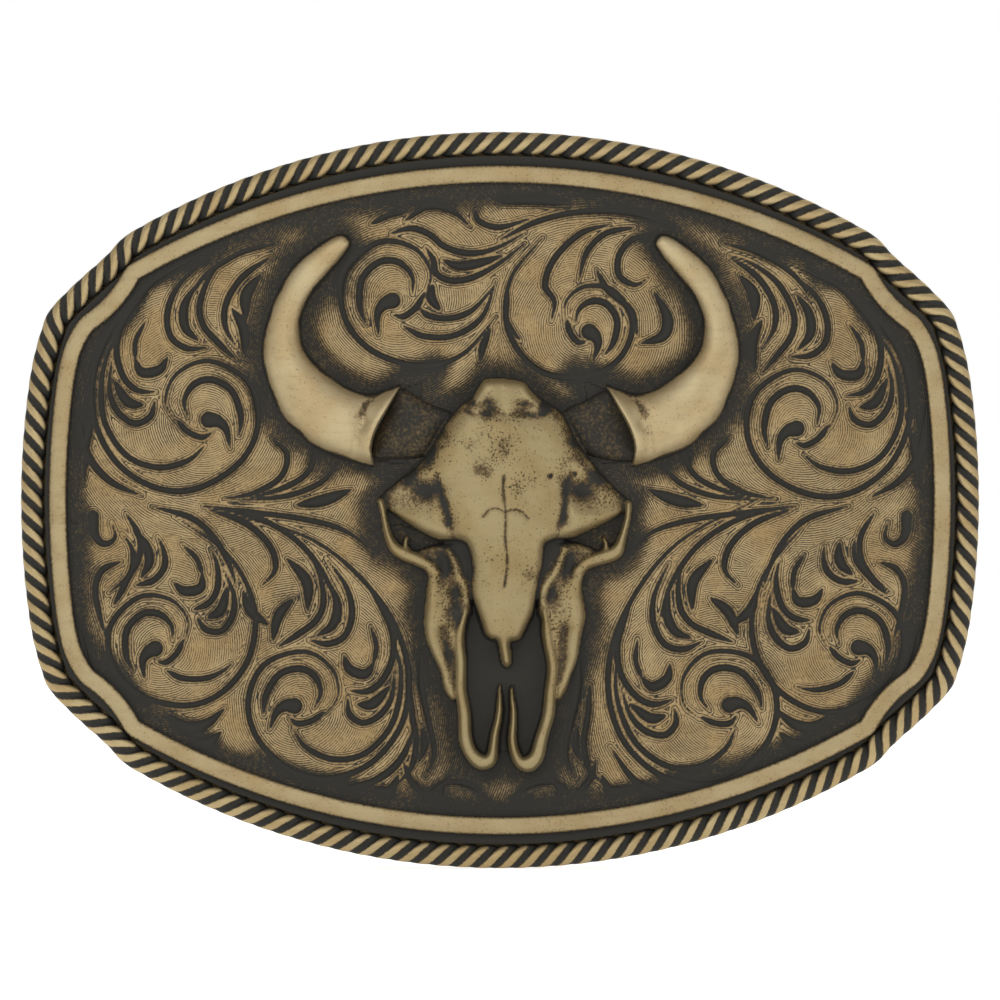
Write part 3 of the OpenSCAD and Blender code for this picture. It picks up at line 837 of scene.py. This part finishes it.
def make_skull():
    """The skull, fine enough for its creases and the edges of its bones. Its blacking stays in the creases
    and hollows, and is rubbed off the brow, the nose and the jaws. A band of painted shade lies under the
    brow."""
    xs = grid_lines(-13.0, 13.0, RELIEF_STEP)
    zs = grid_lines(-26.6, 12.2, RELIEF_STEP)
    x, z = np.meshgrid(xs, zs)
    # The bones wander a little, so that the two sides aren't exact mirror images.
    bone_x = x + (0.12 * np.sin(z * 0.5 + 1) + 0.08 * np.sin(z * 1.3))
    bone_z = z + 0.1 * np.sin(x * 0.7)
    raw = skull_height(bone_x, bone_z)
    uneven = hammered(raw.shape, 7, 3) * 0.035 + hammered(raw.shape, 2, 4) * 0.012
    height = np.where(raw > 0, softened(np.maximum(raw, 0), 0.7) + uneven, UNDER)
    solid = np.maximum(height, 0)
    crease = height - softened(solid, 2.5)
    hollow = height - softened(solid, 8)
    # The stains, and the painted shade under the brow, darken the skull's colour here.
    wear = 0.29 + 0.19 * solid + 1.3 * crease + 0.5 * hollow - 0.24 * skull_stain_and_shade(x, z)
    wear += 0.05 * hammered(raw.shape, 8, 5) - 0.8 * creased(bone_x, bone_z)
    # The throat and the ground are black, and the horn cores nearly so.
    wear = np.where(height < 0.6, -0.05, np.clip(wear, 0.02, 1.05))
    core = (inside_by(smooth_line(HORN_CORE, 4, closed=True), np.abs(x), z) > 0) & (height < 1.25)
    wear = np.where(core, 0.19 + 0.05 * hammered(raw.shape, 6, 6), wear)
    kept = cells_of(softened((raw > -0.5).astype(float), 1.0) > 0.15)
    # Cast, blackened and rubbed by hand: to the eye, old bone in dull gold with sooty creases.
    brass = rubbed_brass("cast_brass_skull", relieved="#9E8F6B", pits=0.85, streaks=0.1)
    return relief("bison_skull", xs + SKULL_X, zs, height, kept, SUNK, "buckle", brass, ("skull",),
                  "cast_brass", wear=wear)


def horn_outline():
    """The closed outline of a horn, taken on past its mouth, for the right-hand side."""
    return np.concatenate([smooth_line(HORN_OUTER, 4), smooth_line(HORN_INNER, 4)])


def make_horn(side, name, node, material):
    """A horn: round in section, with a flared rim round its mouth and a dark collar behind it."""
    xs = grid_lines(8.8, 24.0, HORN_STEP)
    zs = grid_lines(2.6, 26.0, HORN_STEP)
    u, z = np.meshgrid(xs, zs)
    depth = inside_by(horn_outline(), u, z)
    middle = from_line(smooth_line(HORN_MIDDLE), u, z)
    half = softened(np.maximum(depth, 0) + middle, 9)
    share = np.clip(depth / np.maximum(half, 0.01), 0, 1)
    top = 0.72 * half + 0.7
    mouth_line = smooth_line(HORN_MOUTH)
    mouth = from_line(mouth_line, u, z)
    is_sheath = u > np.interp(z, mouth_line[::-1, 1], mouth_line[::-1, 0])
    lip = np.where(is_sheath, mouth, -mouth)
    streaky = hammered(u.shape, 6, 12)
    collar = np.exp(-((mouth - 1.7 - 0.25 * streaky) / 0.5) ** 2)
    flare = 0.35 * np.exp(-((mouth - 0.4) / 0.55) ** 2) - 0.34 * collar
    height = softened((top + flare) * np.sqrt(1 - (1 - share) ** 2.3), 1.2)
    height = height + 0.008 * hammered(u.shape, 12, 11) + 0.004 * hammered(u.shape, 3, 13)
    inside = (depth > 0) & (lip > 0)
    hollow = height - softened(np.where(inside, height, 0), 12)
    wear = 0.9 + 0.35 * hollow - collar * (0.42 + 0.2 * streaky) * step_between(3, 7, z)
    wear *= step_between(0.0, 0.55, depth + 0.08 * streaky)
    height = np.where(depth > 0, height, UNDER)
    height = UNDER + (height - UNDER) * step_between(-0.04, 0.14, lip)
    kept = cells_of((depth > -0.12) & (lip > -0.25))
    if side > 0:
        xs = xs * RIGHT_HORN
    else:
        xs, height, kept, wear = -xs[::-1], height[:, ::-1], kept[:, ::-1], wear[:, ::-1]
    return relief(name, xs + SKULL_X, zs, height, kept, SUNK, "buckle", material, (node,), "horn_brass",
                  wear=wear)


def figure_distance(x, z):
    """Distance outside the skull and horns, negative under them."""
    u = np.abs(x - SKULL_X)
    shapes = [mirrored_outline(CRANIUM), mirrored_outline(CREST)]
    nearest = np.min([-inside_by(s, x - SKULL_X, z) for s in shapes], axis=0)
    for part in (smooth_line(MAXILLA, 3, closed=True), smooth_line(HORN_CORE, 3, closed=True)):
        nearest = np.minimum(nearest, -inside_by(part, u, z))
    for line, half in ((JAW_BAR, 0.5), (CHEEK_BAR, 0.4)):
        nearest = np.minimum(nearest, from_line(smooth_line(line, 3), u, z) - half)
    reach = np.where(x > SKULL_X, u / RIGHT_HORN, u)
    return np.minimum(nearest, -inside_by(horn_outline(), reach, z))


def make_field():
    """The engraved field inside the rail: leaves raised from a dark ground, and cuts in them."""
    edge = outline(RAIL_ARCS, RAIL_TOP, 0.1, step=1.0)
    xs = grid_lines(-42.9, 42.9, FIELD_STEP)
    zs = grid_lines(-31.4, 31.4, FIELD_STEP)
    x, z = np.meshgrid(xs, zs)
    from_rail = inside_by(edge, x, z) - RAIL_W / 2
    from_figure = figure_distance(x, z)
    cut = from_cuts(xs, zs)
    patchy = hammered(x.shape, 5, 21)
    # The leaves fade into a dark gutter along the rail and round the skull, and where no cut
    # is near.
    gutter = step_between(0.8, 3.0, from_rail + 0.2 * patchy)
    gutter = gutter * step_between(0.3, 3.0, from_figure + 0.2 * patchy)
    leaf = step_between(3.9, 2.2, cut + 0.15 * patchy) * gutter
    swell = 1 - np.exp(-np.maximum(cut, 0) / 0.45)
    height = FIELD_GROUND + leaf * (FIELD_LEAF - FIELD_GROUND + 0.13 * swell)
    height -= CUT_DEPTH * step_between(0.1, -0.22, cut) * (0.25 + 0.75 * leaf)
    height = np.maximum(height, 0.015)
    inside = from_rail > -RAIL_W / 2
    kept = cells_of(inside & (from_figure > -0.7))
    # The distance from the middle of the nearest wheel, which the shading lines go round.
    flow = np.full(x.shape, 1e9)
    nearest = flow.copy()
    for (middle_x, middle_z), ring in zip(WHEEL_PLACES, WHEEL_RINGS):
        away = np.hypot(x - middle_x, z - middle_z)
        flow = np.where(away / ring < nearest, away, flow)
        nearest = np.minimum(nearest, away / ring)
    worn = 0.19 + leaf * np.clip(0.55 + 0.06 * patchy + 0.12 * swell, 0, 1)
    # The leaves beside the jaws, below the cheeks, are made darker.
    worn *= 1 - 0.3 * step_between(10.0, 7.6, np.abs(x - SKULL_X)) * step_between(-7, -11, z)
    return relief("engraved_field", xs, zs, height, kept, FIELD_SUNK, "buckle", engraved_brass(), (),
                  "engraved_brass", cut=cut, flow=flow, leaf=worn)


def make_back():
    """A thin skin on the back of the base plate: shallow planishing marks that meet in worn
    ridges, inside a plain margin."""
    xs = grid_lines(-45.4, 45.4, BACK_STEP)
    zs = grid_lines(-34.6, 34.6, BACK_STEP)
    x, z = np.meshgrid(xs, zs)
    from_edge = inside_by(outline(RIM_ARCS, RIM_TOP, BACK_INSET, step=1.0), x, z)
    chance = np.random.default_rng(31)
    nearest = np.full(x.shape, 1e9)
    for middle_z in np.arange(-36, 37, MARK_PITCH):
        for middle_x in np.arange(-46, 47, MARK_PITCH):
            across, up = chance.uniform(-0.4, 0.4, 2) * MARK_PITCH
            nearest = np.minimum(nearest, (x - middle_x - across) ** 2 + (z - middle_z - up) ** 2)
    rise = np.minimum(nearest / (2 * MARK_R), MARK_DEPTH)
    rise = softened(rise, 0.8) * step_between(0.6, 1.6, from_edge) + 0.02
    wear = 0.6 + 1.3 * rise + 0.06 * hammered(x.shape, 8, 32)
    wear -= 0.22 * step_between(2.4, 1.0, from_edge) - 0.35 * step_between(0.5, 0.1, from_edge)
    # The back is made darker round the fittings.
    for at_x, at_z, across, up in BACK_FITTINGS:
        reach = np.hypot((x - at_x) / across, (np.abs(z) - at_z) / up)
        wear -= 0.3 * step_between(1.7, 0.9, reach)
    kept = cells_of(from_edge > 0)
    # Hammered with a polished face and left semi-bright: to the eye, soft overlapping glints.
    brass = rubbed_brass("planished_brass_back", relieved="#9A8862", pits=0.35, streaks=0.15, satin=0.33)
    # Run from right to left and given negative heights, the grid faces the other way.
    back = -(BACK_DEPTH + rise)
    return relief("planished_back", xs[::-1], zs, back[:, ::-1], kept[:, ::-1], BACK_DEPTH - BACK_SUNK,
                  "buckle", brass, (), "planished_brass", wear=wear[:, ::-1])


# One side of the rail's section from its foot to near its middle: how far out and how high,
# as shares of half its width and of its height, and how worn.
RAIL_SIDE = [(1, 0.45, 0.15), (0.92, 0.75, 0.5), (0.72, 0.93, 0.85), (0.4, 0.99, 0.95)]


def make_rail():
    """The raised rail: slightly crowned on top, with rounded edges, sunk into the plate."""
    path = evenly(outline(RAIL_ARCS, RAIL_TOP, 0), RAIL_SECTIONS)
    out = outward(path)
    side = np.array([(1, -RAIL_SUNK / RAIL_H, 0)] + RAIL_SIDE)
    section = np.concatenate([side * [-1, 1, 1], [(0, 1, 1)], side[::-1]])
    sizes = (len(path), len(section))
    across = np.broadcast_to(section[:, 0] * RAIL_W / 2, sizes)
    height = np.broadcast_to(section[:, 1] * RAIL_H, sizes)
    wear = np.broadcast_to(section[:, 2] * 0.88, sizes)
    x = path[:, :1] + out[:, :1] * across
    z = path[:, 1:] + out[:, 1:] * across
    # Filed smooth and rubbed hard: to the eye, the brightest and most even band of the face.
    brass = rubbed_brass("polished_rail_brass", pits=0.35, streaks=0.15)
    return wrapped("polished_rail", x, z, height, "buckle", brass, ("border_rail",), "polished_brass",
                   wear=wear)


def along_ring(values, rows):
    """Numbers held along a closed ring, read at fractional rows."""
    return np.interp(rows % len(values), np.arange(len(values) + 1), np.append(values, values[0]))


def make_rope():
    """The rope wire: strands rolled tight into one ring, with deep black grooves. Its grid
    winds with the strands, so that their edges stay smooth."""
    twist = ROPE_STRANDS * ROPE_PARTS
    rings = ROPE_CRESTS * ROPE_PARTS
    path = evenly(outline(RIM_ARCS, RIM_TOP, ROPE_R + 0.02, 0.2), rings)
    out = outward(path)
    side = np.arange(ROPE_SIDES)[None, :]
    around = 2 * math.pi * side / ROPE_SIDES
    ring = np.arange(rings)[:, None]
    rows = ring - twist * side / ROPE_SIDES
    crest = 0.5 + 0.5 * np.cos(2 * math.pi * ring / ROPE_PARTS)
    # The grooves are shallow along the outer edge, which keeps the outline smooth.
    outer = step_between(0.35, 0.95, np.cos(around))
    radius = ROPE_R - ROPE_GROOVE * (1 - crest ** 0.6) * (1 - 0.85 * outer)
    across = radius * np.cos(around)
    x = along_ring(path[:, 0], rows) + along_ring(out[:, 0], rows) * across
    z = along_ring(path[:, 1], rows) + along_ring(out[:, 1], rows) * across
    height = ROPE_RISE + radius * np.sin(around)
    wear = 0.95 * step_between(0.36, 0.7, crest) * step_between(-0.98, -0.72, np.cos(around))
    # Drawn wire, twisted and blackened: to the eye, pale crests between hard black grooves.
    brass = rubbed_brass("rope_brass", relieved="#B5A37C", pits=0.2, streaks=0.2)
    return wrapped("rope_wire", x, z, height, "buckle", brass, ("rope_edge",), "rope_brass", twist,
                   wear=wear)


# ---- the pieces that the CAD model holds ----

def dress_cad_nodes():
    """Gives each CAD piece that shows its own finish."""
    # Stamped from sheet and worn by the belt: to the eye, a warm, fairly smooth gold.
    stamped = plain_brass("stamped_brass_lug", 0.8, "#A08D66", 0.42)
    finishes = {
        # Blackened and never rubbed: to the eye, a soft black line between rail and rope.
        "face_plate": plain_brass("blackened_brass_margin", -0.25),
        # Rolled sheet, half rubbed: to the eye, a dull brown edge under the rope.
        "base_plate": plain_brass("rolled_brass_edge", 0.55, "#9A8862", 0.5),
        "bail_lug_upper": stamped,
        "bail_lug_lower": stamped,
        "hook_pad": stamped,
        # Hammered heads: to the eye, small bright dots.
        "lug_rivets": plain_brass("peened_brass_rivet", 0.95, "#B09D74", 0.38),
        # Drawn wire, polished by the belt: to the eye, a long soft highlight.
        "bail": plain_brass("drawn_brass_wire", 0.88, "#AD9A70", 0.36),
        # Turned and handled most: to the eye, the smoothest and palest metal on the back.
        "hook_stud": plain_brass("turned_brass_hook", 0.95, "#B3A077", 0.34),
    }
    for node, material in finishes.items():
        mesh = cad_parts[node].data
        mesh.materials.clear()
        mesh.materials.append(material)


# ---- the studio ----

# The strength of the room's even light, the floor's reach and its own glow, which keeps it
# pale right up to the object.
ROOM_LIGHT = 0.74
FLOOR_REACH = 6
FLOOR_GLOW = 0.55
# Each lamp's name, place in metres, size in metres and watts.
LAMPS = [("front_panel", (-0.25, -0.95, 0.5), 0.6, 2.5), ("side_panel", (0.7, -0.5, 0.2), 0.4, 0.5),
         ("back_panel", (0.3, 0.8, 0.5), 0.5, 1.6)]


def make_studio():
    """A plain pale floor, even white light and a soft key from the upper left."""
    scene = bpy.context.scene
    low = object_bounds()[0]
    bm = bmesh.new()
    bmesh.ops.create_grid(bm, x_segments=1, y_segments=1, size=FLOOR_REACH)
    bmesh.ops.translate(bm, verts=bm.verts, vec=(0, 0, low.z))
    mesh = bpy.data.meshes.new("floor")
    bm.to_mesh(mesh)
    bm.free()
    floor = bpy.data.objects.new("floor", mesh)
    scene.collection.objects.link(floor)
    # Matt painted board: to the eye, a plain pale ground with no shine.
    paint, _, shader = new_material("pale_floor")
    shader.inputs["Metallic"].default_value = 0
    shader.inputs["Base Color"].default_value = linear("#F4F4F2")
    shader.inputs["Roughness"].default_value = 1
    shader.inputs["Specular IOR Level"].default_value = 0
    shader.inputs["Emission Color"].default_value = (1, 1, 1, 1)
    shader.inputs["Emission Strength"].default_value = FLOOR_GLOW
    mesh.materials.append(paint)
    scene.world = bpy.data.worlds.new("studio")
    scene.world.use_nodes = True
    tree = scene.world.node_tree
    # The room looks pure white, and lights the object a little less strongly than that.
    seen = add(tree, "ShaderNodeLightPath").outputs["Is Camera Ray"]
    room = maths(tree, "ADD", maths(tree, "MULTIPLY", seen, 1 - ROOM_LIGHT), ROOM_LIGHT)
    sky = tree.nodes["Background"]
    sky.inputs["Color"].default_value = (1, 1, 1, 1)
    tree.links.new(room, sky.inputs["Strength"])
    for name, place, size, watts in LAMPS:
        lamp = bpy.data.lights.new(name, "AREA")
        lamp.size = size
        lamp.energy = watts
        holder = bpy.data.objects.new(name, lamp)
        holder.location = place
        holder.rotation_mode = "QUATERNION"
        holder.rotation_quaternion = Vector(place).to_track_quat("Z", "Y")
        scene.collection.objects.link(holder)
    scene.view_settings.view_transform = "Standard"


# How far off the camera stands, in metres, how wide its picture is at the face, and its
# sensor's width, in millimetres.
CAMERA_AWAY = 2.0
FRAME_W_MM = 95.7
SENSOR_MM = 36


def make_camera():
    """Straight on to the face, far enough away for its edges to look flat."""
    lens = bpy.data.cameras.new("camera")
    lens.sensor_width = SENSOR_MM
    lens.lens = SENSOR_MM * CAMERA_AWAY / (FRAME_W_MM * MM)
    lens.clip_end = 20
    camera = bpy.data.objects.new("camera", lens)
    camera.location = (0, FACE_Y * MM - CAMERA_AWAY, 0)
    camera.rotation_euler = (math.pi / 2, 0, 0)
    bpy.context.scene.collection.objects.link(camera)
    bpy.context.scene.camera = camera


make_field()
make_back()
make_rail()
make_rope()
make_skull()
# Cast, then rubbed more than the skull: to the eye, smooth horn in the palest gold.
horn_brass = rubbed_brass("cast_brass_horn", relieved="#B9A986", pits=0.45, streaks=0.15)
make_horn(-1, "horn_sheath_left", "horn_left", horn_brass)
make_horn(1, "horn_sheath_right", "horn_right", horn_brass)
dress_cad_nodes()
make_studio()
make_camera()
